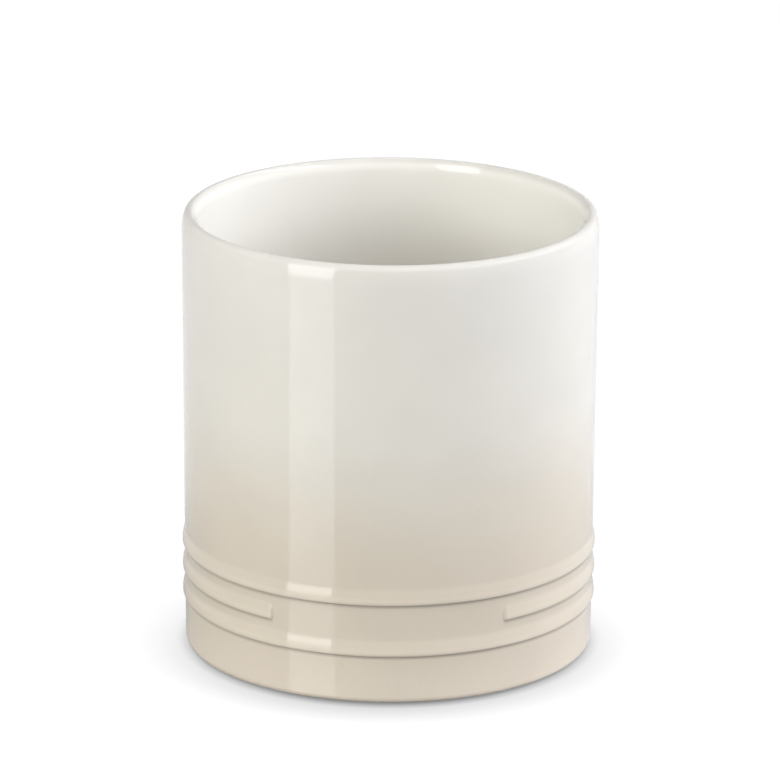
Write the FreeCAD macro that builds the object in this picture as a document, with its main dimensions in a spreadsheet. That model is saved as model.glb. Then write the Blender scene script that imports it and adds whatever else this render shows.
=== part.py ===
# Stoneware utensil crock: one fired clay vessel and the three coats of glaze fired onto it.
# Millimetres, +Z up, the origin is the centre of the foot on the table, and the front faces -Y.
import FreeCAD
import Part
import Sketcher
import os

# Driving dimensions. Outside sizes are those of the finished, glazed crock.
SIZES = {
    "crock_height": 150.0,
    "rim_diameter": 139.2,
    "base_diameter": 137.6,
    "wall_thickness": 4.8,
    "lower_wall_thickness": 4.9,
    "rim_round_radius": 2.3,
    "rim_shoulder_radius": 17.0,
    "rim_shoulder_angle": 15.0,
    "lip_round_radius": 1.07,
    "lip_flare_angle": 30.0,
    "floor_thickness": 6.5,
    "inside_corner_radius": 10.0,
    "glaze_thickness": 0.5,
    "glaze_line_height": 0.8,
    "glaze_roll_radius": 0.4,
    "base_edge_radius": 2.5,
    "foot_width": 4.5,
    "foot_edge_radius": 1.0,
    "recess_glaze_line": 1.5,
    "recess_depth": 3.5,
    "recess_corner_radius": 1.2,
    "rib_projection": 0.8,
    "rib_nose_radius": 0.6,
    "rib_crown_radius": 10.0,
    "rib_end_radius": 0.5,
    "rib_pitch": 8.85,
    "lowest_rib_height": 17.65,
    "rib_gap_length": 80.0,
}

# Sizes worked out from the driving dimensions, as expressions on the sheet.
GLAZE = "sizes.glaze_thickness"
HEIGHT = "sizes.crock_height"
RIM_RADIUS = "(sizes.rim_diameter / 2)"
INSIDE_RIM_RADIUS = f"({RIM_RADIUS} - sizes.wall_thickness)"
CLAY_HEIGHT = f"({HEIGHT} - {GLAZE})"
FLOOR_HEIGHT = "(sizes.recess_depth + sizes.floor_thickness)"
CLAY_RECESS_HEIGHT = f"(sizes.recess_depth + {GLAZE})"
BASE_RADIUS = "(sizes.base_diameter / 2)"
CLAY_BASE_RADIUS = f"({BASE_RADIUS} - {GLAZE})"
BASE_EDGE = "sizes.base_edge_radius"
BASE_EDGE_CENTRE = (f"({CLAY_BASE_RADIUS} - {BASE_EDGE})", BASE_EDGE)
FOOT_OUTER_RADIUS = BASE_EDGE_CENTRE[0]
FOOT_INNER_RADIUS = f"({FOOT_OUTER_RADIUS} - sizes.foot_width - sizes.foot_edge_radius)"
MIDDLE_RIB_HEIGHT = "(sizes.lowest_rib_height + sizes.rib_pitch)"
TOP_RIB_HEIGHT = "(sizes.lowest_rib_height + 2 * sizes.rib_pitch)"

# Outside the crest of the rim, a small round runs into a slow shoulder that meets the outside wall.
RIM_ROUND = "sizes.rim_round_radius"
RIM_ACROSS = "cos(sizes.rim_shoulder_angle)"
RIM_UP = "sin(sizes.rim_shoulder_angle)"
SHOULDER_RADIUS = "sizes.rim_shoulder_radius"
SHOULDER_INSET = f"({SHOULDER_RADIUS} - ({SHOULDER_RADIUS} - {RIM_ROUND}) * {RIM_ACROSS})"
CREST_RADIUS = f"({RIM_RADIUS} - {SHOULDER_INSET})"
RIM_CENTRE_HEIGHT = f"({HEIGHT} - {RIM_ROUND})"
SHOULDER_HEIGHT = f"({RIM_CENTRE_HEIGHT} - ({SHOULDER_RADIUS} - {RIM_ROUND}) * {RIM_UP})"
RIM_CENTRE = (CREST_RADIUS, RIM_CENTRE_HEIGHT)
SHOULDER_CENTRE = (f"({RIM_RADIUS} - {SHOULDER_RADIUS})", SHOULDER_HEIGHT)

# Inside the crest, a smaller round runs into a slow flare that meets the inside wall.
LIP_ROUND = "sizes.lip_round_radius"
LIP_HEIGHT = f"({HEIGHT} - {LIP_ROUND})"
LIP_ACROSS = "cos(sizes.lip_flare_angle)"
LIP_UP = "sin(sizes.lip_flare_angle)"
LIP_WIDTH = f"({CREST_RADIUS} - {INSIDE_RIM_RADIUS})"
FLARE_RADIUS = f"(({LIP_WIDTH} - {LIP_ROUND} * {LIP_ACROSS}) / (1 - {LIP_ACROSS}))"
FLARE_HEIGHT = f"({LIP_HEIGHT} - ({FLARE_RADIUS} - {LIP_ROUND}) * {LIP_UP})"
LIP_CENTRE = (CREST_RADIUS, LIP_HEIGHT)
FLARE_CENTRE = (f"({INSIDE_RIM_RADIUS} + {FLARE_RADIUS})", FLARE_HEIGHT)

# A sketch numbers its own axes down from -1, and the points of a line or arc up from 1.
RADIUS_AXIS, HEIGHT_AXIS = range(-1, -3, -1)
START, END, CENTRE = range(1, 4)
ORIGIN = (RADIUS_AXIS, START)
# Points and edges nearer than this, in millimetres, are the same one.
SAME_PLACE = 0.001


def wall_radius(height):
    """Outside radius of the glazed wall at a height; it leans evenly from the base edge to the shoulder."""
    way_up = f"(({height}) - {BASE_EDGE}) / ({SHOULDER_HEIGHT} - {BASE_EDGE})"
    return f"({BASE_RADIUS} + ({RIM_RADIUS} - {BASE_RADIUS}) * {way_up})"


def make_sheet(doc):
    sheet = doc.addObject("Spreadsheet::Sheet", "sizes")
    for row, (alias, value) in enumerate(SIZES.items(), start=1):
        sheet.set(f"A{row}", alias)
        sheet.set(f"B{row}", str(value))
        sheet.setAlias(f"B{row}", alias)
    doc.recompute()
    return sheet


doc = FreeCAD.newDocument("utensil_crock")
sheet = make_sheet(doc)


def measure(expression):
    """The number that an expression on the sheet stands for."""
    return float(sheet.evalExpression(expression))


def point(radius, height):
    return FreeCAD.Vector(measure(radius), measure(height), 0)


def new_body(name):
    body = doc.addObject("PartDesign::Body", name)
    body.Label = name
    return body


def new_sketch(body, name, plane_role):
    plane = next(item for item in body.Origin.OriginFeatures if item.Role == plane_role)
    sketch = body.newObject("Sketcher::SketchObject", name)
    sketch.AttachmentSupport = [(plane, "")]
    sketch.MapMode = "FlatFace"
    return sketch


def bind(sketch, kind, place, expression):
    """Hold a sketch point (geometry, position) at a distance from the origin given by the sheet."""
    constraint = Sketcher.Constraint(kind, *ORIGIN, *place, measure(expression))
    index = sketch.addConstraint(constraint)
    sketch.setExpression(f"Constraints[{index}]", expression)


def hold_radius(sketch, place, expression):
    if expression == "0":
        sketch.addConstraint(Sketcher.Constraint("PointOnObject", *place, HEIGHT_AXIS))
    else:
        bind(sketch, "DistanceX", place, expression)


def hold_height(sketch, place, expression):
    if expression == "0":
        sketch.addConstraint(Sketcher.Constraint("PointOnObject", *place, RADIUS_AXIS))
    else:
        bind(sketch, "DistanceY", place, expression)


def level_with(centre, corner):
    """Whether a corner lies more beside an arc's centre than above or below it."""
    return abs(corner.x - centre.x) > abs(corner.y - centre.y)


def section(body, name, corners, rounds=None, plane="XZ_Plane"):
    """A closed half section through (radius, height) corners.

    Its sides are straight lines, but `rounds` gives the number of each side that is an arc, with the
    arc's centre. The corner where an arc ends is held one way only, and follows the arc the other way.
    """
    rounds = rounds or {}
    sketch = new_sketch(body, name, plane)
    starts = []
    ends = []
    for number, corner in enumerate(corners):
        start = point(*corner)
        end = point(*corners[(number + 1) % len(corners)])
        if number in rounds:
            centre = point(*rounds[number])
            middle = centre + ((start - centre) + (end - centre)).normalize() * (start - centre).Length
            side = sketch.addGeometry(Part.Arc(start, middle, end))
            hold_radius(sketch, (side, CENTRE), rounds[number][0])
            hold_height(sketch, (side, CENTRE), rounds[number][1])
        else:
            side = sketch.addGeometry(Part.LineSegment(start, end))
        # An arc may be stored the other way round, so its own points say where it starts.
        forward = (sketch.getPoint(side, START) - start).Length < SAME_PLACE
        starts.append((side, START if forward else END))
        ends.append((side, END if forward else START))
    for number, (radius, height) in enumerate(corners):
        sketch.addConstraint(Sketcher.Constraint("Coincident", *ends[number - 1], *starts[number]))
        after_arc = number - 1 in rounds
        level = after_arc and level_with(point(*rounds[number - 1]), point(radius, height))
        if not level:
            hold_radius(sketch, starts[number], radius)
        if level or not after_arc:
            hold_height(sketch, starts[number], height)
    return sketch


def turn(body, name, sketch, kind="Revolution"):
    """Revolve a section about the crock's axis, to add (Revolution) or to cut (Groove)."""
    feature = body.newObject(f"PartDesign::{kind}", name)
    feature.Profile = sketch
    feature.ReferenceAxis = (sketch, ["V_Axis"])
    feature.Angle = 360
    doc.recompute()
    return feature


def rib_section(body, name, height, coat, plane="XZ_Plane"):
    """A rib's section with its crest at a height: a small round below the crest and a slow one above.

    It stands off the clay wall, grown by `coat`, and runs far enough into the wall to join it.
    """
    projection = "sizes.rib_projection"
    wall = f"({wall_radius(height)} - {GLAZE})"
    crest = f"({wall} + {projection} + {coat})"
    inside = f"({wall} - {projection})"
    nose = f"(sizes.rib_nose_radius + {coat})"
    nose_centre = (f"({wall} + {projection} - sizes.rib_nose_radius)", height)
    crown = f"(sizes.rib_crown_radius + {coat})"
    crown_centre = (f"({wall} + {projection} - sizes.rib_crown_radius)", height)
    crown_rise = f"sqrt({crown} ^ 2 - (sizes.rib_crown_radius - 2 * {projection}) ^ 2)"
    corners = [
        (inside, f"({height} - {nose})"),
        (nose_centre[0], f"({height} - {nose})"),
        (crest, height),
        (inside, f"({height} + {crown_rise})"),
    ]
    return section(body, name, corners, {1: nose_centre, 2: crown_centre}, plane)


def ribs(body, name, coat, add=True):
    """The three ribs: two full rings, and a middle one that is open at the front."""
    turned = "Revolution" if add else "Groove"
    for place, height in (("low", "sizes.lowest_rib_height"), ("top", TOP_RIB_HEIGHT)):
        ring_section = rib_section(body, f"{name}_{place}_rib_section", height, coat)
        turn(body, f"{name}_{place}_rib", ring_section, turned)

    # The open ring's section stands at the back and turns both ways towards the front.
    half_gap = f"(sizes.rib_gap_length / 2 + {GLAZE} - {coat})"
    end_angle = f"({half_gap} / {wall_radius(MIDDLE_RIB_HEIGHT)} * 180 / pi)"
    middle = rib_section(body, f"{name}_middle_rib_section", MIDDLE_RIB_HEIGHT, coat, "YZ_Plane")
    open_rib = turn(body, f"{name}_middle_rib", middle, turned)
    open_rib.Midplane = True
    open_rib.setExpression("Angle", f"360 - 2 * {end_angle}")
    doc.recompute()


def round_edges(body, name, chosen, expression):
    """Fillet the edges that `chosen` accepts, with a radius from the sheet."""
    base = body.Tip
    numbers = [number for number, edge in enumerate(base.Shape.Edges, start=1) if chosen(base.Shape, edge)]
    if not numbers:
        raise RuntimeError(f"no edge found for {name}")
    fillet = body.newObject("PartDesign::Fillet", name)
    fillet.Base = (base, [f"Edge{number}" for number in numbers])
    fillet.Radius = measure(expression)
    fillet.setExpression("Radius", expression)
    doc.recompute()


def ring(radius, height):
    """A test for the level circular edge at a radius and height."""

    def chosen(shape, edge):
        curve = edge.Curve
        if not isinstance(curve, Part.Circle):
            return False
        level = abs(curve.Center.z - measure(height)) < SAME_PLACE
        return level and abs(curve.Radius - measure(radius)) < SAME_PLACE

    return chosen


def rib_end(shape, edge):
    """A test for the edges round the two end faces of the open rib."""
    surfaces = [face.Surface for face in shape.ancestorsOfType(edge, Part.Face)]
    upright = [item for item in surfaces if isinstance(item, Part.Plane) and abs(item.Axis.z) < SAME_PLACE]
    rounded = [item for item in surfaces if isinstance(item, Part.Toroid)]
    return bool(upright and rounded)


def cavity_section(body, name, coat):
    """The hollow of the crock, `coat` outside the finished inside surface, and its floor edge."""
    floor = f"({FLOOR_HEIGHT} - {coat})"
    floor_radius = f"({wall_radius(FLOOR_HEIGHT)} - sizes.lower_wall_thickness + {coat})"
    lip_radius = f"({LIP_ROUND} - {coat})"
    corners = [
        ("0", floor),
        (floor_radius, floor),
        (f"({INSIDE_RIM_RADIUS} + {coat})", FLARE_HEIGHT),
        (f"({CREST_RADIUS} - {lip_radius} * {LIP_ACROSS})", f"({LIP_HEIGHT} + {lip_radius} * {LIP_UP})"),
        (CREST_RADIUS, f"({HEIGHT} - {coat})"),
    ]
    if coat != "0":
        corners.append((CREST_RADIUS, HEIGHT))
    corners.append(("0", HEIGHT))
    return section(body, name, corners, {2: FLARE_CENTRE, 3: LIP_CENTRE}), ring(floor_radius, floor)


def rim_corners(coat):
    """Corners up the outside of the rim, `coat` inside its finished surface: shoulder, round and crest."""
    rim_round = f"({RIM_ROUND} - {coat})"
    round_radius = f"({CREST_RADIUS} + {rim_round} * {RIM_ACROSS})"
    round_height = f"({RIM_CENTRE_HEIGHT} + {rim_round} * {RIM_UP})"
    return [
        (f"({RIM_RADIUS} - {coat})", SHOULDER_HEIGHT),
        (round_radius, round_height),
        (CREST_RADIUS, f"({HEIGHT} - {coat})"),
    ]


def stoneware_body():
    """The fired clay: wall, floor, foot ring and ribs from one mould."""
    body = new_body("stoneware_body")
    corners = [
        ("0", CLAY_RECESS_HEIGHT),
        (FOOT_INNER_RADIUS, CLAY_RECESS_HEIGHT),
        (FOOT_INNER_RADIUS, "0"),
        (FOOT_OUTER_RADIUS, "0"),
        (CLAY_BASE_RADIUS, BASE_EDGE),
        *rim_corners(GLAZE),
        ("0", CLAY_HEIGHT),
    ]
    rounds = {3: BASE_EDGE_CENTRE, 5: SHOULDER_CENTRE, 6: RIM_CENTRE}
    turn(body, "clay_block", section(body, "clay_block_section", corners, rounds))
    ribs(body, "clay", "0")
    hollow, floor_edge = cavity_section(body, "clay_hollow_section", GLAZE)
    turn(body, "clay_hollow", hollow, "Groove")
    round_edges(body, "clay_floor_corner", floor_edge, f"sizes.inside_corner_radius + {GLAZE}")
    round_edges(body, "foot_inner_edge", ring(FOOT_INNER_RADIUS, "0"), "sizes.foot_edge_radius")
    recess_edge = ring(FOOT_INNER_RADIUS, CLAY_RECESS_HEIGHT)
    round_edges(body, "recess_corner", recess_edge, "sizes.recess_corner_radius")
    return body


def outside_glaze():
    """The outside coat, from the crest of the rim to the glaze line above the foot."""
    body = new_body("outside_glaze")
    glaze_line = "sizes.glaze_line_height"
    coat_edge = f"sqrt(({BASE_EDGE} + {GLAZE}) ^ 2 - ({BASE_EDGE} - {glaze_line}) ^ 2)"
    glaze_line_radius = f"({FOOT_OUTER_RADIUS} + {coat_edge})"
    corners = [
        ("0", glaze_line),
        (glaze_line_radius, glaze_line),
        (BASE_RADIUS, BASE_EDGE),
        *rim_corners("0"),
        ("0", HEIGHT),
    ]
    rounds = {1: BASE_EDGE_CENTRE, 3: SHOULDER_CENTRE, 4: RIM_CENTRE}
    turn(body, "coat_block", section(body, "coat_block_section", corners, rounds))
    ribs(body, "coat", GLAZE)
    round_edges(body, "rib_ends", rib_end, "sizes.rib_end_radius")
    round_edges(body, "glaze_roll", ring(glaze_line_radius, glaze_line), "sizes.glaze_roll_radius")

    # What the clay fills comes out, and so does everything inside the crest of the rim.
    above_rim = f"({HEIGHT} + sizes.wall_thickness)"
    clay_corners = [
        ("0", "0"),
        (FOOT_OUTER_RADIUS, "0"),
        (CLAY_BASE_RADIUS, BASE_EDGE),
        *rim_corners(GLAZE),
        (CREST_RADIUS, above_rim),
        ("0", above_rim),
    ]
    turn(body, "clay_room", section(body, "clay_room_section", clay_corners, rounds), "Groove")
    ribs(body, "clay_room", "0", add=False)
    return body


def inside_glaze():
    """The inside coat, over the floor and up the wall to the crest of the rim."""
    body = new_body("inside_glaze")
    lining, lining_edge = cavity_section(body, "lining_section", GLAZE)
    turn(body, "lining", lining)
    hollow, hollow_edge = cavity_section(body, "hollow_section", "0")
    turn(body, "hollow", hollow, "Groove")
    round_edges(body, "hollow_corner", hollow_edge, "sizes.inside_corner_radius")
    round_edges(body, "lining_corner", lining_edge, f"sizes.inside_corner_radius + {GLAZE}")
    return body


def base_glaze():
    """The coat in the recess under the base, which stops on the foot ring's inner side."""
    body = new_body("base_glaze")
    skirt_height = "sizes.recess_glaze_line"
    skirt_radius = f"({FOOT_INNER_RADIUS} - {GLAZE})"
    corners = [
        ("0", "sizes.recess_depth"),
        (skirt_radius, "sizes.recess_depth"),
        (skirt_radius, skirt_height),
        (FOOT_INNER_RADIUS, skirt_height),
        (FOOT_INNER_RADIUS, CLAY_RECESS_HEIGHT),
        ("0", CLAY_RECESS_HEIGHT),
    ]
    turn(body, "base_coat", section(body, "base_coat_section", corners))
    inner_edge = ring(skirt_radius, "sizes.recess_depth")
    round_edges(body, "base_coat_inner_corner", inner_edge, f"sizes.recess_corner_radius - {GLAZE}")
    outer_edge = ring(FOOT_INNER_RADIUS, CLAY_RECESS_HEIGHT)
    round_edges(body, "base_coat_corner", outer_edge, "sizes.recess_corner_radius")
    return body


pieces = [stoneware_body(), outside_glaze(), inside_glaze(), base_glaze()]
doc.recompute()

for item in doc.Objects:
    if "Invalid" in item.State or "Error" in item.State:
        raise RuntimeError(f"{item.Name} failed: {item.State}")
for piece in pieces:
    if piece.Shape.isNull() or not piece.Shape.isValid() or len(piece.Shape.Solids) != 1:
        raise RuntimeError(f"{piece.Label} is not one sound solid")

os.makedirs("parts", exist_ok=True)
for piece in pieces:
    piece.Shape.exportStep(f"parts/{piece.Label}.step")
    print(f"{piece.Label}: {piece.Shape.Volume:.1f} mm3")
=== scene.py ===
"""Looks of a stoneware utensil crock: its coats of glaze, its bare clay foot and a plain studio."""
import math

import bmesh
import bpy
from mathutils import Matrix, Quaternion, Vector


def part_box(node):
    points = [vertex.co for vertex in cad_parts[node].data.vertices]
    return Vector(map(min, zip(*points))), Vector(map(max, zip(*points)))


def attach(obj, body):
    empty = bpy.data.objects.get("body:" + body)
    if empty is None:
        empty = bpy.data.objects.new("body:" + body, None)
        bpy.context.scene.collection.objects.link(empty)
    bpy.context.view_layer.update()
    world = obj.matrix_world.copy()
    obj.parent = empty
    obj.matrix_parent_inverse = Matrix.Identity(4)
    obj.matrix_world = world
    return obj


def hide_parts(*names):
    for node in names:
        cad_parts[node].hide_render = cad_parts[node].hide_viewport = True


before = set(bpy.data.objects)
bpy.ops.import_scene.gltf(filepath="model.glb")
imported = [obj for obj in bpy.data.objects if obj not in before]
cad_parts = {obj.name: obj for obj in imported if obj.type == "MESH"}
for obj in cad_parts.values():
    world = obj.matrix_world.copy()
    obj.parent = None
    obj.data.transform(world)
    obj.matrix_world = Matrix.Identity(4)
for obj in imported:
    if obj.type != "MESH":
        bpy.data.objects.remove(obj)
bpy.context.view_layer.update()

MM = 0.001

# Heights, the glaze's thickness and the foot's inner radius, in metres, as the frame has them.
RIM_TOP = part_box("outside_glaze")[1].z
GLAZE_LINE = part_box("outside_glaze")[0].z
GLAZE = RIM_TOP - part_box("stoneware_body")[1].z
INSIDE_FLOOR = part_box("inside_glaze")[0].z + GLAZE
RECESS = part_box("base_glaze")[1].z - GLAZE
RECESS_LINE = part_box("base_glaze")[0].z
FOOT_INNER_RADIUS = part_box("base_glaze")[1].x

# Radii, wall widths and rounds of the finished section; angles are in degrees.
RIM_RADIUS = 69.6 * MM
BASE_RADIUS = 68.8 * MM
BASE_EDGE = 2.5 * MM
RIM_WALL = 4.8 * MM
LOWER_WALL = 4.9 * MM
RIM_ROUND = 2.3 * MM
RIM_SHOULDER = 17.0 * MM
SHOULDER_ANGLE = 15.0
LIP_ROUND = 1.07 * MM
LIP_ANGLE = 30.0
INSIDE_CORNER = 10.0 * MM
RECESS_CORNER = 1.2 * MM
GLAZE_ROLL = 0.4 * MM

# The three ribs: each has a small round below its crest, a slow one above it and soft creases at the wall.
RIB_HEIGHTS = [17.65 * MM, 26.5 * MM, 35.35 * MM]
OPEN_RIB = 1
RIB_PROJECTION = 0.8 * MM
RIB_NOSE = 1.1 * MM
RIB_CROWN = 10.5 * MM
RIB_END_ROUND = 1.5 * MM
CREASE_BELOW = 0.15 * MM
CREASE_ABOVE = 0.45 * MM
RIB_GAP = 80.0 * MM

# How far below and above its crest a rib reaches, with its creases.
RIB_BELOW = 1.6 * MM
RIB_ABOVE = 5.2 * MM

# The depths below its crest between which a rib turns in sharply.
TURN_TOP = 0.7 * MM
TURN_BOTTOM = 1.3 * MM

# Where glaze gathers, with painted shade, below a rib's nose, where it is thin above the crest, and how far
# up and down.
POOL_AND_SHADE_BELOW_NOSE = 0.3 * MM
POOL_AND_SHADE_REACH = 0.8 * MM
THIN_ABOVE_CREST = 0.8 * MM
THIN_REACH = 1.2 * MM
THIN_SHARE = 0.2

RIM_CENTRE = RIM_TOP - RIM_ROUND
SHOULDER_REACH = RIM_SHOULDER - RIM_ROUND
SHOULDER_HEIGHT = RIM_CENTRE - SHOULDER_REACH * math.sin(math.radians(SHOULDER_ANGLE))
CREST_RADIUS = RIM_RADIUS - RIM_SHOULDER + SHOULDER_REACH * math.cos(math.radians(SHOULDER_ANGLE))
LIP_ACROSS = math.cos(math.radians(LIP_ANGLE))
LIP_WIDTH = CREST_RADIUS - RIM_RADIUS + RIM_WALL
LIP_FLARE = (LIP_WIDTH - LIP_ROUND * LIP_ACROSS) / (1 - LIP_ACROSS)
LIP_HEIGHT = RIM_TOP - LIP_ROUND
FLARE_HEIGHT = LIP_HEIGHT - (LIP_FLARE - LIP_ROUND) * math.sin(math.radians(LIP_ANGLE))
BASE_EDGE_CENTRE = (BASE_RADIUS - GLAZE - BASE_EDGE, BASE_EDGE)


def wall_radius(height):
    """Radius of the finished outside wall, which leans out evenly from the base edge to the shoulder."""
    way_up = (height - BASE_EDGE) / (SHOULDER_HEIGHT - BASE_EDGE)
    return BASE_RADIUS + (RIM_RADIUS - BASE_RADIUS) * way_up


# How far round from the front the open rib's two ends are, in radians.
RIB_END_ANGLE = RIB_GAP / 2 / wall_radius(RIB_HEIGHTS[OPEN_RIB])


# Sections and turned shapes

# Points of a turned shape that lie closer than this are made one.
MERGE_DISTANCE = 0.002 * MM

# Edges that bend by more than this many degrees stay sharp.
SHARP_ANGLE = 40


def arc(centre, radius, start, end, steps):
    """Section points on a round, with angles in degrees from straight out towards straight up."""
    angles = [math.radians(start + (end - start) * step / steps) for step in range(steps + 1)]
    return [(centre[0] + radius * math.cos(a), centre[1] + radius * math.sin(a)) for a in angles]


def run(start, end, steps):
    """Evenly spaced section points from start up to, but not at, end."""
    return [
        (start[0] + (end[0] - start[0]) * step / steps, start[1] + (end[1] - start[1]) * step / steps)
        for step in range(steps)
    ]


def turned(points, sectors, closed):
    """Spin a section about the crock's axis, from the back, by (angle in degrees, steps) sectors."""
    bm = bmesh.new()
    verts = [bm.verts.new((0, radius, height)) for radius, height in points]
    edges = [bm.edges.new(pair) for pair in zip(verts, verts[1:])]
    if closed:
        edges.append(bm.edges.new((verts[-1], verts[0])))
    section = verts + edges
    for angle, steps in sectors:
        spun = bmesh.ops.spin(
            bm, geom=section, cent=(0, 0, 0), axis=(0, 0, 1), angle=math.radians(angle), steps=steps
        )
        section = spun["geom_last"]
    bmesh.ops.remove_doubles(bm, verts=bm.verts, dist=MERGE_DISTANCE)
    bmesh.ops.recalc_face_normals(bm, faces=bm.faces)
    return bm


def finished(bm, name, material, node):
    """Make the mesh a smooth piece that stands for its node in the frame."""
    for face in bm.faces:
        face.smooth = True
    for edge in bm.edges:
        edge.smooth = edge.calc_face_angle(0.0) < math.radians(SHARP_ANGLE)
    mesh = bpy.data.meshes.new(name)
    bm.to_mesh(mesh)
    bm.free()
    mesh.materials.append(material)
    piece = bpy.data.objects.new(name, mesh)
    bpy.context.scene.collection.objects.link(piece)
    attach(piece, "root")
    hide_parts(node)


# Ribs

def rib_end_drop(place, number):
    """How far a rib has sunk at a place on the wall, near and past the open rib's round ends."""
    if number != OPEN_RIB:
        return 0.0
    from_front = abs(math.atan2(place.x, -place.y))
    past = (RIB_END_ANGLE - from_front) * place.xy.length + RIB_END_ROUND
    past = min(max(past, 0.0), RIB_END_ROUND)
    return RIB_END_ROUND - math.sqrt(RIB_END_ROUND ** 2 - past ** 2)


def rib_rise(across, drop):
    """How far a rib stands off the wall at a height above or below its crest."""
    below = across < 0
    round_radius = RIB_NOSE if below else RIB_CROWN
    crease = CREASE_BELOW if below else CREASE_ABOVE
    reach = min(abs(across), round_radius)
    bead = RIB_PROJECTION - drop - round_radius + math.sqrt(round_radius ** 2 - reach ** 2)
    blend = max(crease - abs(bead), 0.0)
    return max(bead, 0.0) + blend ** 2 / (4 * crease)


def pooling_and_shade(across, drop):
    """How glaze gathers near a rib, with painted shade in its crease: up to 1 in the crease below it, under
    0 where it is thin.
    """
    standing = max(0.0, 1 - drop / RIB_PROJECTION)
    crease_middle = -RIB_NOSE - POOL_AND_SHADE_BELOW_NOSE
    in_crease = max(0.0, 1 - abs(across - crease_middle) / POOL_AND_SHADE_REACH)
    on_crest = max(0.0, 1 - abs(across - THIN_ABOVE_CREST) / THIN_REACH)
    return standing * (in_crease - THIN_SHARE * on_crest)


def raise_ribs(bm):
    """Move the wall's vertices out along the three ribs and note where glaze pools, with painted shade,
    beside them.
    """
    pool_and_shade = bm.verts.layers.float.new("glaze_pool_and_shade")
    for vert in bm.verts:
        for number, height in enumerate(RIB_HEIGHTS):
            across = vert.co.z - height
            if -RIB_BELOW - GLAZE < across < RIB_ABOVE:
                drop = rib_end_drop(vert.co, number)
                vert[pool_and_shade] = pooling_and_shade(across, drop)
                out = vert.co.xy.normalized() * rib_rise(across, drop)
                vert.co += Vector((out.x, out.y, 0))


def rib_levels():
    """Heights for the section's points from above the top rib to below the lowest."""
    stretches = [
        (RIB_ABOVE, 0.0, 16),
        (0.0, -TURN_TOP, 7),
        (-TURN_TOP, -TURN_BOTTOM, 12),
        (-TURN_BOTTOM, -RIB_BELOW - GLAZE, 6),
    ]
    levels = []
    for height in reversed(RIB_HEIGHTS):
        for first, last, steps in stretches:
            levels += [height + first + (last - first) * step / steps for step in range(steps)]
        levels.append(height - RIB_BELOW - GLAZE)
    return levels


# Steps round the wall, in degrees, and how far the fine ones run outside and into the open rib's gap.
COARSE_STEP = 1.5
FINE_STEP = 0.1
FINE_OUTSIDE = 1.8
FINE_INTO_GAP = 0.6

# Steps in a whole turn of the inside coat and of the coat under the base.
INSIDE_STEPS = 240
BASE_STEPS = 180


def rib_sectors():
    """Sectors to turn the outside coat by, from the back, finest at the ends of the open rib."""
    end = math.degrees(RIB_END_ANGLE)
    fine_start = end + FINE_OUTSIDE
    fine_end = end - FINE_INTO_GAP
    back = (180 - fine_start, round((180 - fine_start) / COARSE_STEP))
    fine = (fine_start - fine_end, round((fine_start - fine_end) / FINE_STEP))
    front = (2 * fine_end, round(2 * fine_end / COARSE_STEP))
    return [back, fine, front, fine, back]


# Pieces

# One very short step at the crest of the rim, in degrees, makes the two coats shade as one there.
CREST_STEP = 0.6


def outer_rim(coat):
    """The rim from the crest down to the outside wall: a small round, then a slow shoulder."""
    round_centre = (CREST_RADIUS, RIM_CENTRE)
    shoulder_centre = (RIM_RADIUS - RIM_SHOULDER, SHOULDER_HEIGHT)
    points = [(CREST_RADIUS, RIM_TOP - coat)]
    points += arc(round_centre, RIM_ROUND - coat, 90 - CREST_STEP, SHOULDER_ANGLE, steps=12)
    points += arc(shoulder_centre, RIM_SHOULDER - coat, SHOULDER_ANGLE, 0, steps=10)[1:]
    return points


def inner_rim(coat):
    """The rim from the inside wall up to the crest: a slow flare, then a small round."""
    flare_centre = (RIM_RADIUS - RIM_WALL + LIP_FLARE, FLARE_HEIGHT)
    lip_centre = (CREST_RADIUS, LIP_HEIGHT)
    turn = 180 - LIP_ANGLE
    points = arc(flare_centre, LIP_FLARE - coat, 180, turn, steps=14)
    points += arc(lip_centre, LIP_ROUND - coat, turn, 90 + CREST_STEP, steps=10)[1:]
    return points + [(CREST_RADIUS, RIM_TOP - coat)]


def make_outside_coat(material):
    """The outside coat: down its face to the roll above the foot, then up its back to the rim."""
    def wall(height, depth=0.0):
        return (wall_radius(height) - depth, height)

    levels = rib_levels()
    roll_reach = BASE_EDGE + GLAZE - GLAZE_ROLL
    roll_height = GLAZE_LINE + GLAZE_ROLL
    roll_angle = math.degrees(math.asin((BASE_EDGE - roll_height) / roll_reach))
    roll_centre = arc(BASE_EDGE_CENTRE, roll_reach, -roll_angle, 0, steps=1)[0]
    clay_angle = math.degrees(math.asin((BASE_EDGE - GLAZE_LINE) / BASE_EDGE))

    points = outer_rim(0.0)[:-1]
    points += run(wall(SHOULDER_HEIGHT), wall(levels[0]), steps=28)
    points += [wall(level) for level in levels[:-1]]
    points += run(wall(levels[-1]), wall(BASE_EDGE), steps=8)
    points += arc(BASE_EDGE_CENTRE, BASE_EDGE + GLAZE, 0, -roll_angle, steps=8)
    points += arc(roll_centre, GLAZE_ROLL, -roll_angle, -90, steps=6)[1:]
    points += arc(BASE_EDGE_CENTRE, BASE_EDGE, -clay_angle, 0, steps=4)[:-1]
    points += run(wall(BASE_EDGE, GLAZE), wall(levels[-1], GLAZE), steps=3)
    points += run(wall(levels[-1], GLAZE), wall(levels[0], GLAZE), steps=40)
    points += run(wall(levels[0], GLAZE), wall(SHOULDER_HEIGHT, GLAZE), steps=6)
    points += outer_rim(GLAZE)[::-1]
    bm = turned(points, rib_sectors(), closed=True)
    raise_ribs(bm)
    finished(bm, "outside_glaze_coat", material, "outside_glaze")


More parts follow.
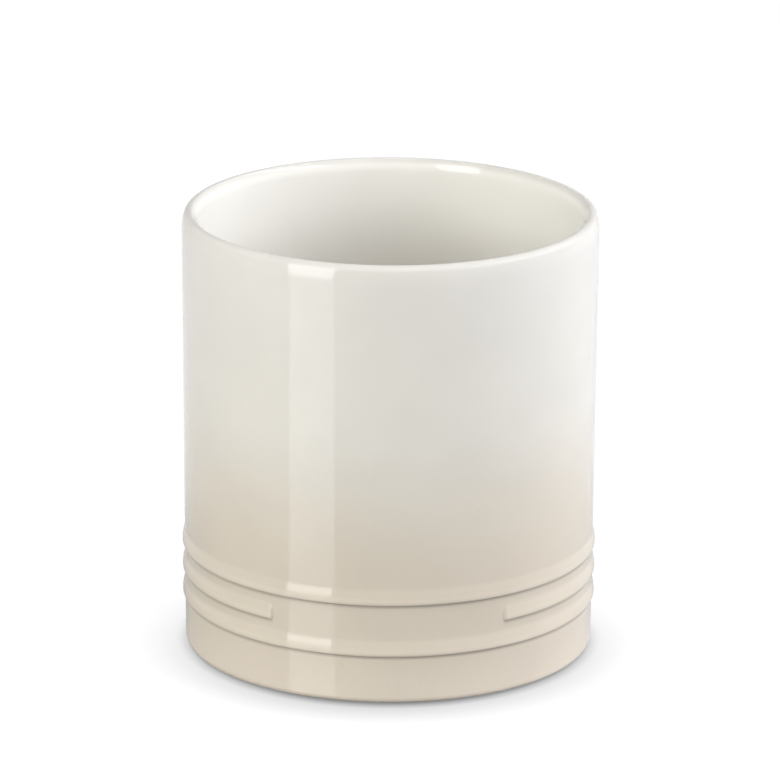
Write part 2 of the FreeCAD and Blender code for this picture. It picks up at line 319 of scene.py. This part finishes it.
def hollow_section(coat):
    """The inside from the middle of the floor to the rim, a coat's depth behind its finished surface."""
    floor = INSIDE_FLOOR - coat
    corner = INSIDE_CORNER + coat
    low = (wall_radius(INSIDE_FLOOR) - LOWER_WALL + coat, INSIDE_FLOOR)
    high = (RIM_RADIUS - RIM_WALL + coat, FLARE_HEIGHT)
    lean = math.atan2(high[0] - low[0], high[1] - low[1])
    corner_height = floor + corner
    wall_there = low[0] + math.tan(lean) * (corner_height - low[1])
    corner_centre = (wall_there - corner / math.cos(lean), corner_height)
    round_points = arc(corner_centre, corner, -90, -math.degrees(lean), steps=16)
    points = run((0.0, floor), round_points[0], steps=10) + round_points[:-1]
    points += run(round_points[-1], high, steps=30)
    return points + inner_rim(coat)


def make_inside_coat(material):
    """The inside coat: up its face from the floor to the rim, then down its back."""
    points = hollow_section(0.0) + hollow_section(GLAZE)[::-1]
    bm = turned(points, [(360, INSIDE_STEPS)], closed=False)
    finished(bm, "inside_glaze_coat", material, "inside_glaze")


def make_base_coat(material):
    """The coat under the base: out along the recess, down inside the foot ring and back behind."""
    centre = (FOOT_INNER_RADIUS - RECESS_CORNER, RECESS + GLAZE - RECESS_CORNER)
    roll_centre = (FOOT_INNER_RADIUS - GLAZE + GLAZE_ROLL, RECESS_LINE + GLAZE_ROLL)
    face = arc(centre, RECESS_CORNER - GLAZE, 90, 0, steps=6)
    points = run((0.0, RECESS), face[0], steps=12) + face
    points += arc(roll_centre, GLAZE_ROLL, 180, 270, steps=5)
    points += [(FOOT_INNER_RADIUS, RECESS_LINE)]
    points += arc(centre, RECESS_CORNER, 0, 90, steps=6)
    points += [(0.0, RECESS + GLAZE)]
    bm = turned(points, [(360, BASE_STEPS)], closed=False)
    finished(bm, "base_glaze_coat", material, "base_glaze")


# Finishes

# The outside glaze is sprayed in two colours that fade into each other; heights are above the foot.
OUTSIDE_COLOURS = [
    # The lighter stop at the foot is painted bounce light from the floor.
    (0.0 * MM, (0.674, 0.601, 0.491, 1)),
    (16.0 * MM, (0.605, 0.537, 0.436, 1)),
    (40.0 * MM, (0.572, 0.510, 0.413, 1)),
    (52.0 * MM, (0.580, 0.521, 0.425, 1)),
    (90.0 * MM, (0.638, 0.612, 0.544, 1)),
    (150.0 * MM, (0.648, 0.626, 0.571, 1)),
]
# The rim's crest colour: partly thin glaze, partly painted shade on the upward-facing crest.
RIM_COLOUR = (0.670, 0.649, 0.596, 1)
INSIDE_COLOUR = (0.805, 0.787, 0.723, 1)
# The colour deep inside the crock is painted shade.
INSIDE_PAINTED_SHADE_COLOUR = (0.690, 0.664, 0.600, 1)
BASE_COLOUR = (0.735, 0.655, 0.535, 1)
BASE_POOL_COLOUR = (0.640, 0.560, 0.450, 1)
CLAY_COLOUR = (0.660, 0.580, 0.465, 1)
CLAY_DARK_COLOUR = (0.540, 0.455, 0.345, 1)
CLAY_SPECK_COLOUR = (0.300, 0.215, 0.140, 1)

# How far below the crest of the rim the coats begin to thin and take painted shade, and where both are
# strongest.
RIM_THIN_AND_SHADE_START = 2.5 * MM
RIM_THIN_AND_SHADE_END = 0.3 * MM

# The heights between which the inside goes from its painted shade deep down to its pale colour near the
# rim.
INSIDE_PAINTED_SHADE_HEIGHTS = (104 * MM, 138 * MM)

# The skin that every glaze here has: sizes, depths and tones of what shows on it up close.
GLAZE_IOR = 1.52
GLAZE_ROUGHNESS = (0.03, 0.075)
CLOUD_SIZE = 26 * MM
CLOUD_TONE = (0.985, 1.015)
PINHOLE_SPACING = 11 * MM
PINHOLE_RADIUS = 0.22 * MM
PINHOLE_DEPTH = 0.03 * MM
PINHOLE_TONE = 0.86
GRAIN_SIZE = 0.9 * MM
SMEAR_SIZE = 14 * MM
SWELL_SIZE = 34 * MM
SWELL_DEPTH = 0.035 * MM
PEEL_SIZE = 2.6 * MM
PEEL_DEPTH = 0.0025 * MM

# How far the outside fade wanders up and down, and its tone from thin glaze to pooled glaze darkened with
# painted shade.
DRIFT_SIZE = 45 * MM
DRIFT = 3.0 * MM
SPECKLE = 1.5 * MM
POOL_AND_SHADE_TONE = (1.3, 0.7)

# Brush marks under the base, and the sand, patches and specks of the bare clay.
BRUSH_SIZE = 12 * MM
SAND_SIZE = 0.7 * MM
SAND_DEPTH = 0.06 * MM
SAND_TONE = (0.93, 1.07)
CLAY_ROUGHNESS = (0.95, 0.80)
PATCH_SIZE = 9 * MM
SPECK_SPACING = 2.4 * MM
SPECK_RADIUS = 0.25 * MM

# The span that holds most of a noise's values, and a narrower one for stronger contrast.
NOISE_SPAN = (0.3, 0.7)
STRONG_SPAN = (0.35, 0.65)

# From nothing to all, and from all to nothing.
RISING = (0.0, 1.0)
FALLING = (1.0, 0.0)


class Nodes:
    """Short calls for building a node tree."""

    def __init__(self, tree):
        self.tree = tree

    def add(self, kind, values=None, **settings):
        """A new node with its settings and the values of its inputs."""
        made = self.tree.nodes.new(kind)
        for name, value in settings.items():
            setattr(made, name, value)
        for name, value in (values or {}).items():
            made.inputs[name].default_value = value
        return made

    def link(self, out, into):
        """Join an output to an input."""
        self.tree.links.new(out, into)

    def noise(self, place, feature_size, detail):
        """Soft cloudy noise with blots of about the given size in metres."""
        made = self.add("ShaderNodeTexNoise", {"Scale": 1 / feature_size, "Detail": detail})
        self.link(place, made.inputs["Vector"])
        return made.outputs["Fac"]

    def dots(self, place, spacing, radius):
        """Round dots, 1 in their middles and 0 outside, scattered at about the given spacing."""
        cells = self.add("ShaderNodeTexVoronoi", {"Scale": 1 / spacing})
        self.link(place, cells.inputs["Vector"])
        return self.ranged(cells.outputs["Distance"], (0.0, radius / spacing), FALLING)

    def ranged(self, value, span, to, smooth=True):
        """Bring a value from one span to another, and hold it at that one's ends."""
        limits = {"From Min": span[0], "From Max": span[1], "To Min": to[0], "To Max": to[1]}
        kind = "SMOOTHSTEP" if smooth else "LINEAR"
        made = self.add("ShaderNodeMapRange", limits, interpolation_type=kind)
        self.link(value, made.inputs["Value"])
        return made.outputs["Result"]

    def calculate(self, operation, first, second):
        """Two varying values added or multiplied."""
        made = self.add("ShaderNodeMath", operation=operation)
        self.link(first, made.inputs[0])
        self.link(second, made.inputs[1])
        return made.outputs[0]

    def blended(self, factor, low_colour, high_colour):
        """Mix two colours; each may be a constant or another node's output."""
        made = self.add("ShaderNodeMix", data_type="RGBA")
        self.link(factor, made.inputs[0])
        for socket, colour in ((made.inputs[6], low_colour), (made.inputs[7], high_colour)):
            if isinstance(colour, tuple):
                socket.default_value = colour
            else:
                self.link(colour, socket)
        return made.outputs[2]

    def toned(self, colour, tone):
        """Lighten or darken a colour by a varying tone near 1."""
        made = self.add("ShaderNodeHueSaturation")
        self.link(colour, made.inputs["Color"])
        self.link(tone, made.inputs["Value"])
        return made.outputs["Color"]

    def bumped(self, height, distance, normal=None):
        """Dents in a surface, as deep as the given distance, over those it may have already."""
        made = self.add("ShaderNodeBump", {"Strength": 1.0, "Distance": distance})
        self.link(height, made.inputs["Height"])
        if normal:
            self.link(normal, made.inputs["Normal"])
        return made.outputs["Normal"]

    def matt(self, grey):
        """A matt grey shader."""
        return self.add("ShaderNodeBsdfDiffuse", {"Color": (grey, grey, grey, 1)}).outputs[0]

    def summed(self, first, second):
        """Two shaders added together."""
        made = self.add("ShaderNodeAddShader")
        self.link(first, made.inputs[0])
        self.link(second, made.inputs[1])
        return made.outputs[0]

    def chosen(self, choice, otherwise, then):
        """One of two shaders, by a choice that is 0 or 1."""
        made = self.add("ShaderNodeMixShader")
        self.link(choice, made.inputs[0])
        self.link(otherwise, made.inputs[1])
        self.link(then, made.inputs[2])
        return made.outputs[0]


def glaze_skin_group():
    """What every fired glaze here shares: clouds, sprayed grain, pinholes, gloss and a wavy skin."""
    group = bpy.data.node_groups.new("glaze_skin", "ShaderNodeTree")
    for name, kind in (
        ("Tone", "NodeSocketFloat"),
        ("Grain", "NodeSocketFloat"),
        ("Roughness", "NodeSocketFloat"),
        ("Normal", "NodeSocketVector"),
    ):
        group.interface.new_socket(name, in_out="OUTPUT", socket_type=kind)
    nodes = Nodes(group)
    place = nodes.add("ShaderNodeTexCoord").outputs["Object"]
    clouds = nodes.noise(place, CLOUD_SIZE, detail=2.0)
    pinholes = nodes.dots(place, PINHOLE_SPACING, PINHOLE_RADIUS)
    cloud_tone = nodes.ranged(clouds, NOISE_SPAN, CLOUD_TONE)
    pinhole_tone = nodes.ranged(pinholes, RISING, (1.0, PINHOLE_TONE))
    tone = nodes.calculate("MULTIPLY", cloud_tone, pinhole_tone)
    grain = nodes.noise(place, GRAIN_SIZE, detail=1.0)
    smears = nodes.noise(place, SMEAR_SIZE, detail=3.0)
    roughness = nodes.ranged(smears, NOISE_SPAN, GLAZE_ROUGHNESS)
    swell = nodes.bumped(nodes.noise(place, SWELL_SIZE, detail=0.0), SWELL_DEPTH)
    peel = nodes.bumped(nodes.noise(place, PEEL_SIZE, detail=1.0), PEEL_DEPTH, swell)
    pits = nodes.bumped(nodes.ranged(pinholes, RISING, FALLING), PINHOLE_DEPTH, peel)
    out = nodes.add("NodeGroupOutput")
    for value, name in ((tone, "Tone"), (grain, "Grain"), (roughness, "Roughness"), (pits, "Normal")):
        nodes.link(value, out.inputs[name])
    return group


def new_material(name):
    """A new material, the calls to build its nodes with and its shader."""
    material = bpy.data.materials.new(name)
    material.use_nodes = True
    nodes = Nodes(material.node_tree)
    shader = material.node_tree.nodes["Principled BSDF"]
    return material, nodes, shader


def glazed_material(name, skin_group):
    """A glossy material with the shared glaze skin; its colour is still to be linked."""
    material, nodes, shader = new_material(name)
    shader.inputs["IOR"].default_value = GLAZE_IOR
    skin = nodes.add("ShaderNodeGroup", node_tree=skin_group)
    nodes.link(skin.outputs["Roughness"], shader.inputs["Roughness"])
    nodes.link(skin.outputs["Normal"], shader.inputs["Normal"])
    return material, nodes, shader, skin


def height_of(nodes):
    """Height above the foot, in metres."""
    split = nodes.add("ShaderNodeSeparateXYZ")
    nodes.link(nodes.add("ShaderNodeTexCoord").outputs["Object"], split.inputs[0])
    return split.outputs["Z"]


def thinned_and_shaded_at_rim(nodes, colour):
    """Both coats run thin over the crest of the rim, where they meet in one colour that is partly painted
    shade.
    """
    thin_and_shade = nodes.ranged(height_of(nodes), (RIM_TOP - RIM_THIN_AND_SHADE_START, RIM_TOP - RIM_THIN_AND_SHADE_END), RISING)
    return nodes.blended(thin_and_shade, colour, RIM_COLOUR)


def faded(nodes, height):
    """The outside coat's sprayed colour at a height."""
    top = OUTSIDE_COLOURS[-1][0]
    ramp = nodes.add("ShaderNodeValToRGB")
    nodes.link(nodes.ranged(height, (0.0, top), RISING, smooth=False), ramp.inputs["Fac"])
    stops = ramp.color_ramp.elements
    while len(stops) < len(OUTSIDE_COLOURS):
        stops.new(0.5)
    for stop, (level, colour) in zip(stops, OUTSIDE_COLOURS):
        stop.position = level / top
        stop.color = colour
    return ramp.outputs["Color"]


def outside_glaze_finish(skin_group):
    """Two sprayed colours with a grainy, uneven fade, pooled and darkened with painted shade in the creases
    and thin on the ribs.
    """
    material, nodes, shader, skin = glazed_material("outside_glaze_fade", skin_group)
    place = nodes.add("ShaderNodeTexCoord").outputs["Object"]
    drift = nodes.ranged(nodes.noise(place, DRIFT_SIZE, detail=1.0), NOISE_SPAN, (-DRIFT, DRIFT))
    speckle = nodes.ranged(skin.outputs["Grain"], NOISE_SPAN, (-SPECKLE, SPECKLE))
    shift = nodes.calculate("ADD", drift, speckle)
    height = nodes.calculate("ADD", height_of(nodes), shift)
    # Darker in the crease below each rib: partly pooled glaze, partly painted shade.
    pool_and_shade = nodes.add("ShaderNodeAttribute", attribute_name="glaze_pool_and_shade").outputs["Fac"]
    pool_and_shade_tone = nodes.ranged(pool_and_shade, (-1.0, 1.0), POOL_AND_SHADE_TONE, smooth=False)
    tone = nodes.calculate("MULTIPLY", skin.outputs["Tone"], pool_and_shade_tone)
    colour = thinned_and_shaded_at_rim(nodes, faded(nodes, height))
    nodes.link(nodes.toned(colour, tone), shader.inputs["Base Color"])
    return material


def inside_glaze_finish(skin_group):
    """Cream glaze, darker below than near the rim: painted shade deep inside the crock."""
    material, nodes, shader, skin = glazed_material("inside_glaze_cream", skin_group)
    # Darker towards the bottom of the inside: painted shade.
    painted_shade = nodes.ranged(height_of(nodes), INSIDE_PAINTED_SHADE_HEIGHTS, FALLING)
    colour = thinned_and_shaded_at_rim(nodes, nodes.blended(painted_shade, INSIDE_COLOUR, INSIDE_PAINTED_SHADE_COLOUR))
    nodes.link(nodes.toned(colour, skin.outputs["Tone"]), shader.inputs["Base Color"])
    return material


def base_glaze_finish(skin_group):
    """A thin beige wash under the base, uneven where it was brushed on."""
    material, nodes, shader, skin = glazed_material("base_glaze_beige", skin_group)
    place = nodes.add("ShaderNodeTexCoord").outputs["Object"]
    brushed = nodes.ranged(nodes.noise(place, BRUSH_SIZE, detail=4.0), STRONG_SPAN, RISING)
    colour = nodes.blended(brushed, BASE_COLOUR, BASE_POOL_COLOUR)
    nodes.link(nodes.toned(colour, skin.outputs["Tone"]), shader.inputs["Base Color"])
    return material


def clay_finish():
    """Bare fired clay: sandy, matt, with fine dark specks."""
    material, nodes, shader = new_material("bare_stoneware")
    place = nodes.add("ShaderNodeTexCoord").outputs["Object"]
    sand = nodes.noise(place, SAND_SIZE, detail=3.0)
    patches = nodes.ranged(nodes.noise(place, PATCH_SIZE, detail=2.0), STRONG_SPAN, RISING)
    specks = nodes.dots(place, SPECK_SPACING, SPECK_RADIUS)
    ground = nodes.blended(patches, CLAY_COLOUR, CLAY_DARK_COLOUR)
    colour = nodes.blended(specks, ground, CLAY_SPECK_COLOUR)
    tone = nodes.ranged(sand, NOISE_SPAN, SAND_TONE)
    nodes.link(nodes.toned(colour, tone), shader.inputs["Base Color"])
    nodes.link(nodes.ranged(sand, NOISE_SPAN, CLAY_ROUGHNESS), shader.inputs["Roughness"])
    nodes.link(nodes.bumped(sand, SAND_DEPTH), shader.inputs["Normal"])
    return material


glaze_skin = glaze_skin_group()
make_outside_coat(outside_glaze_finish(glaze_skin))
make_inside_coat(inside_glaze_finish(glaze_skin))
make_base_coat(base_glaze_finish(glaze_skin))
clay_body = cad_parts["stoneware_body"].data.materials
clay_body.clear()
clay_body.append(clay_finish())


# Studio

# The floor lies a hair below the foot, so that the two faces don't coincide.
FLOOR_GAP = 0.02 * MM
FLOOR_RADIUS = 6.0
FLOOR_SIDES = 96

# How pale the floor is to the light, to the camera and in the glaze, and how much it mirrors there.
FLOOR_MATT = 0.38
FLOOR_SEEN_MATT = 0.06
FLOOR_SEEN_GLOW = 0.97
FLOOR_MIRRORED_MATT = 0.4
FLOOR_POLISH = (0.3, 0.3, 0.3, 1)

# The soft and the close shade at the foot, deepest on the floor in front of the crock.
SOFT_SHADE_REACH = 20 * MM
CLOSE_SHADE_REACH = 4 * MM
SHADE_DEPTH = 0.4
SHADE_FACING = {"Y": 0.8, "Z": 0.6}

# The floor's sheen in the glaze: strongest at the left, and weak close to the crock.
SHEEN_ACROSS = (-300 * MM, 100 * MM)
SHEEN_STRENGTH = (0.46, 0.3)
SHEEN_AWAY = (90 * MM, 240 * MM)
SHEEN_SHARE = (0.1, 1.0)

# The room's strength as a light and as the camera's white; in the glaze it rises towards the back.
ROOM_LIGHT = 0.03
ROOM_SEEN = 1.0
ROOM_MIRRORED = (0.35, 0.7)
TOWARDS_BACK = (0.0, 0.9)

# The height that the lamps face and their colours.
LAMP_AIM = 80 * MM
PLAIN_LIGHT = (1.0, 1.0, 1.0)
COOL_LIGHT = (0.91, 0.925, 1.0)

# Each fill's name, azimuth, elevation, radiance and colour.
FILLS = [
    ("left_fill", -75.0, 20.0, 6.5, PLAIN_LIGHT),
    ("front_fill", 8.0, 40.0, 5.4, PLAIN_LIGHT),
    ("top_fill", 0.0, 80.0, 2.0, PLAIN_LIGHT),
    ("right_fill", 80.0, 21.0, 5.7, COOL_LIGHT),
    ("right_back_fill", 112.0, 10.0, 5.8, COOL_LIGHT),
]


def emptied_nodes(owner):
    """The calls to build a material's or world's nodes with, from nothing."""
    owner.use_nodes = True
    owner.node_tree.nodes.clear()
    return Nodes(owner.node_tree)


def contact_shade(nodes, reach):
    """The shade that the crock leaves on the floor within a reach of its foot."""
    facing = nodes.add("ShaderNodeCombineXYZ", SHADE_FACING)
    hidden = nodes.add("ShaderNodeAmbientOcclusion", {"Distance": reach})
    nodes.link(facing.outputs[0], hidden.inputs["Normal"])
    shade = nodes.add("ShaderNodeGamma", {"Gamma": SHADE_DEPTH})
    nodes.link(hidden.outputs["Color"], shade.inputs["Color"])
    return shade.outputs["Color"]


def floor_as_seen(nodes):
    """The floor to the camera: white, with the crock's shade."""
    shade = nodes.add("ShaderNodeMix", {0: 1.0}, data_type="RGBA", blend_type="MULTIPLY")
    nodes.link(contact_shade(nodes, SOFT_SHADE_REACH), shade.inputs[6])
    nodes.link(contact_shade(nodes, CLOSE_SHADE_REACH), shade.inputs[7])
    glow = nodes.add("ShaderNodeEmission", {"Strength": FLOOR_SEEN_GLOW})
    nodes.link(shade.outputs[2], glow.inputs["Color"])
    return nodes.summed(nodes.matt(FLOOR_SEEN_MATT), glow.outputs[0])


def floor_as_mirrored(nodes):
    """The floor in the glaze: a dim mirror with a sheen."""
    polish = nodes.add("ShaderNodeBsdfGlossy", {"Color": FLOOR_POLISH, "Roughness": 0.0})
    table = nodes.summed(nodes.matt(FLOOR_MIRRORED_MATT), polish.outputs[0])
    place = nodes.add("ShaderNodeTexCoord").outputs["Object"]
    split = nodes.add("ShaderNodeSeparateXYZ")
    nodes.link(place, split.inputs[0])
    away = nodes.add("ShaderNodeVectorMath", operation="LENGTH")
    nodes.link(place, away.inputs[0])
    sideways = nodes.ranged(split.outputs["X"], SHEEN_ACROSS, SHEEN_STRENGTH)
    outwards = nodes.ranged(away.outputs["Value"], SHEEN_AWAY, SHEEN_SHARE)
    sheen = nodes.add("ShaderNodeEmission")
    nodes.link(nodes.calculate("MULTIPLY", sideways, outwards), sheen.inputs["Strength"])
    return nodes.summed(table, sheen.outputs[0])


def floor_finish():
    """A matt floor that the camera sees bright and the glaze sees as a dim mirror."""
    material = bpy.data.materials.new("white_floor")
    nodes = emptied_nodes(material)
    path = nodes.add("ShaderNodeLightPath").outputs
    surface = nodes.chosen(path["Is Camera Ray"], nodes.matt(FLOOR_MATT), floor_as_seen(nodes))
    surface = nodes.chosen(path["Is Glossy Ray"], surface, floor_as_mirrored(nodes))
    out = nodes.add("ShaderNodeOutputMaterial")
    nodes.link(surface, out.inputs["Surface"])
    return material


def make_floor():
    """A wide round floor under the crock."""
    bm = bmesh.new()
    bmesh.ops.create_circle(bm, cap_ends=True, segments=FLOOR_SIDES, radius=FLOOR_RADIUS)
    mesh = bpy.data.meshes.new("studio_floor")
    bm.to_mesh(mesh)
    bm.free()
    mesh.materials.append(floor_finish())
    floor = bpy.data.objects.new("studio_floor", mesh)
    floor.location.z = -FLOOR_GAP
    bpy.context.scene.collection.objects.link(floor)


def make_world():
    """A dim even room that the camera sees as plain white and the glaze as grey, paler behind the crock."""
    world = bpy.data.worlds.new("studio")
    bpy.context.scene.world = world
    nodes = emptied_nodes(world)
    path = nodes.add("ShaderNodeLightPath").outputs
    white = {"Color": (1, 1, 1, 1)}
    lit = nodes.add("ShaderNodeBackground", {**white, "Strength": ROOM_LIGHT})
    seen = nodes.add("ShaderNodeBackground", {**white, "Strength": ROOM_SEEN})
    mirrored = nodes.add("ShaderNodeBackground", white)
    towards = nodes.add("ShaderNodeSeparateXYZ")
    nodes.link(nodes.add("ShaderNodeTexCoord").outputs["Generated"], towards.inputs[0])
    strength = nodes.ranged(towards.outputs["Y"], TOWARDS_BACK, ROOM_MIRRORED)
    nodes.link(strength, mirrored.inputs["Strength"])
    surface = nodes.chosen(path["Is Glossy Ray"], lit.outputs[0], mirrored.outputs[0])
    surface = nodes.chosen(path["Is Camera Ray"], surface, seen.outputs[0])
    out = nodes.add("ShaderNodeOutputWorld")
    nodes.link(surface, out.inputs["Surface"])


def panel(name, azimuth, elevation, distance, width, height, radiance, colour=PLAIN_LIGHT, mirrored=True):
    """A soft light panel that faces the crock; azimuth is in degrees from the front towards the right."""
    around = math.radians(azimuth)
    above = math.radians(elevation)
    level = math.cos(above)
    towards = Vector((level * math.sin(around), -level * math.cos(around), math.sin(above)))
    light = bpy.data.lights.new(name, "AREA")
    light.shape = "RECTANGLE"
    light.size = width
    light.size_y = height
    light.energy = radiance * math.pi * width * height
    light.color = colour
    lamp = bpy.data.objects.new(name, light)
    lamp.location = Vector((0, 0, LAMP_AIM)) + towards * distance
    lamp.rotation_mode = "QUATERNION"
    lamp.rotation_quaternion = (-towards).to_track_quat("-Z", "Y")
    lamp.visible_glossy = mirrored
    bpy.context.scene.collection.objects.link(lamp)


def make_lights():
    """A strip at the left and a slim panel at the right that show in the glaze, and fills that don't."""
    strip = {"azimuth": -42.6, "elevation": 16.2, "distance": 1.15, "width": 0.53, "height": 0.82}
    right = {"azimuth": 84.0, "elevation": 35.0, "width": 2.0, "colour": COOL_LIGHT}
    fill = {"distance": 1.4, "width": 0.8, "height": 0.5, "mirrored": False}
    panel("strip_light", radiance=4.3, **strip)
    panel("right_light", distance=1.3, height=0.18, radiance=4.3, **right)
    panel("right_wide_fill", distance=1.4, height=0.65, radiance=2.6, mirrored=False, **right)
    for name, azimuth, elevation, radiance, colour in FILLS:
        panel(name, azimuth, elevation, radiance=radiance, colour=colour, **fill)


def make_camera():
    """A long lens that looks down at the crock from the front."""
    aim = Vector((0.11 * MM, 0, 86.96 * MM))
    pitch = math.radians(17.36)
    roll = math.radians(0.363)
    distance = 1940.4 * MM
    focal_pixels = 5773
    image_height = 781
    sensor = 36.0
    far_limit = 50
    camera = bpy.data.cameras.new("camera")
    camera.sensor_width = sensor
    camera.lens = focal_pixels / image_height * sensor
    camera.clip_end = far_limit
    made = bpy.data.objects.new("camera", camera)
    look = Vector((0, math.cos(pitch), -math.sin(pitch)))
    made.location = aim - look * distance
    made.rotation_mode = "QUATERNION"
    made.rotation_quaternion = look.to_track_quat("-Z", "Y") @ Quaternion((0, 0, 1), roll)
    bpy.context.scene.collection.objects.link(made)
    bpy.context.scene.camera = made


make_floor()
make_world()
make_lights()
make_camera()
bpy.context.scene.view_settings.view_transform = "Standard"
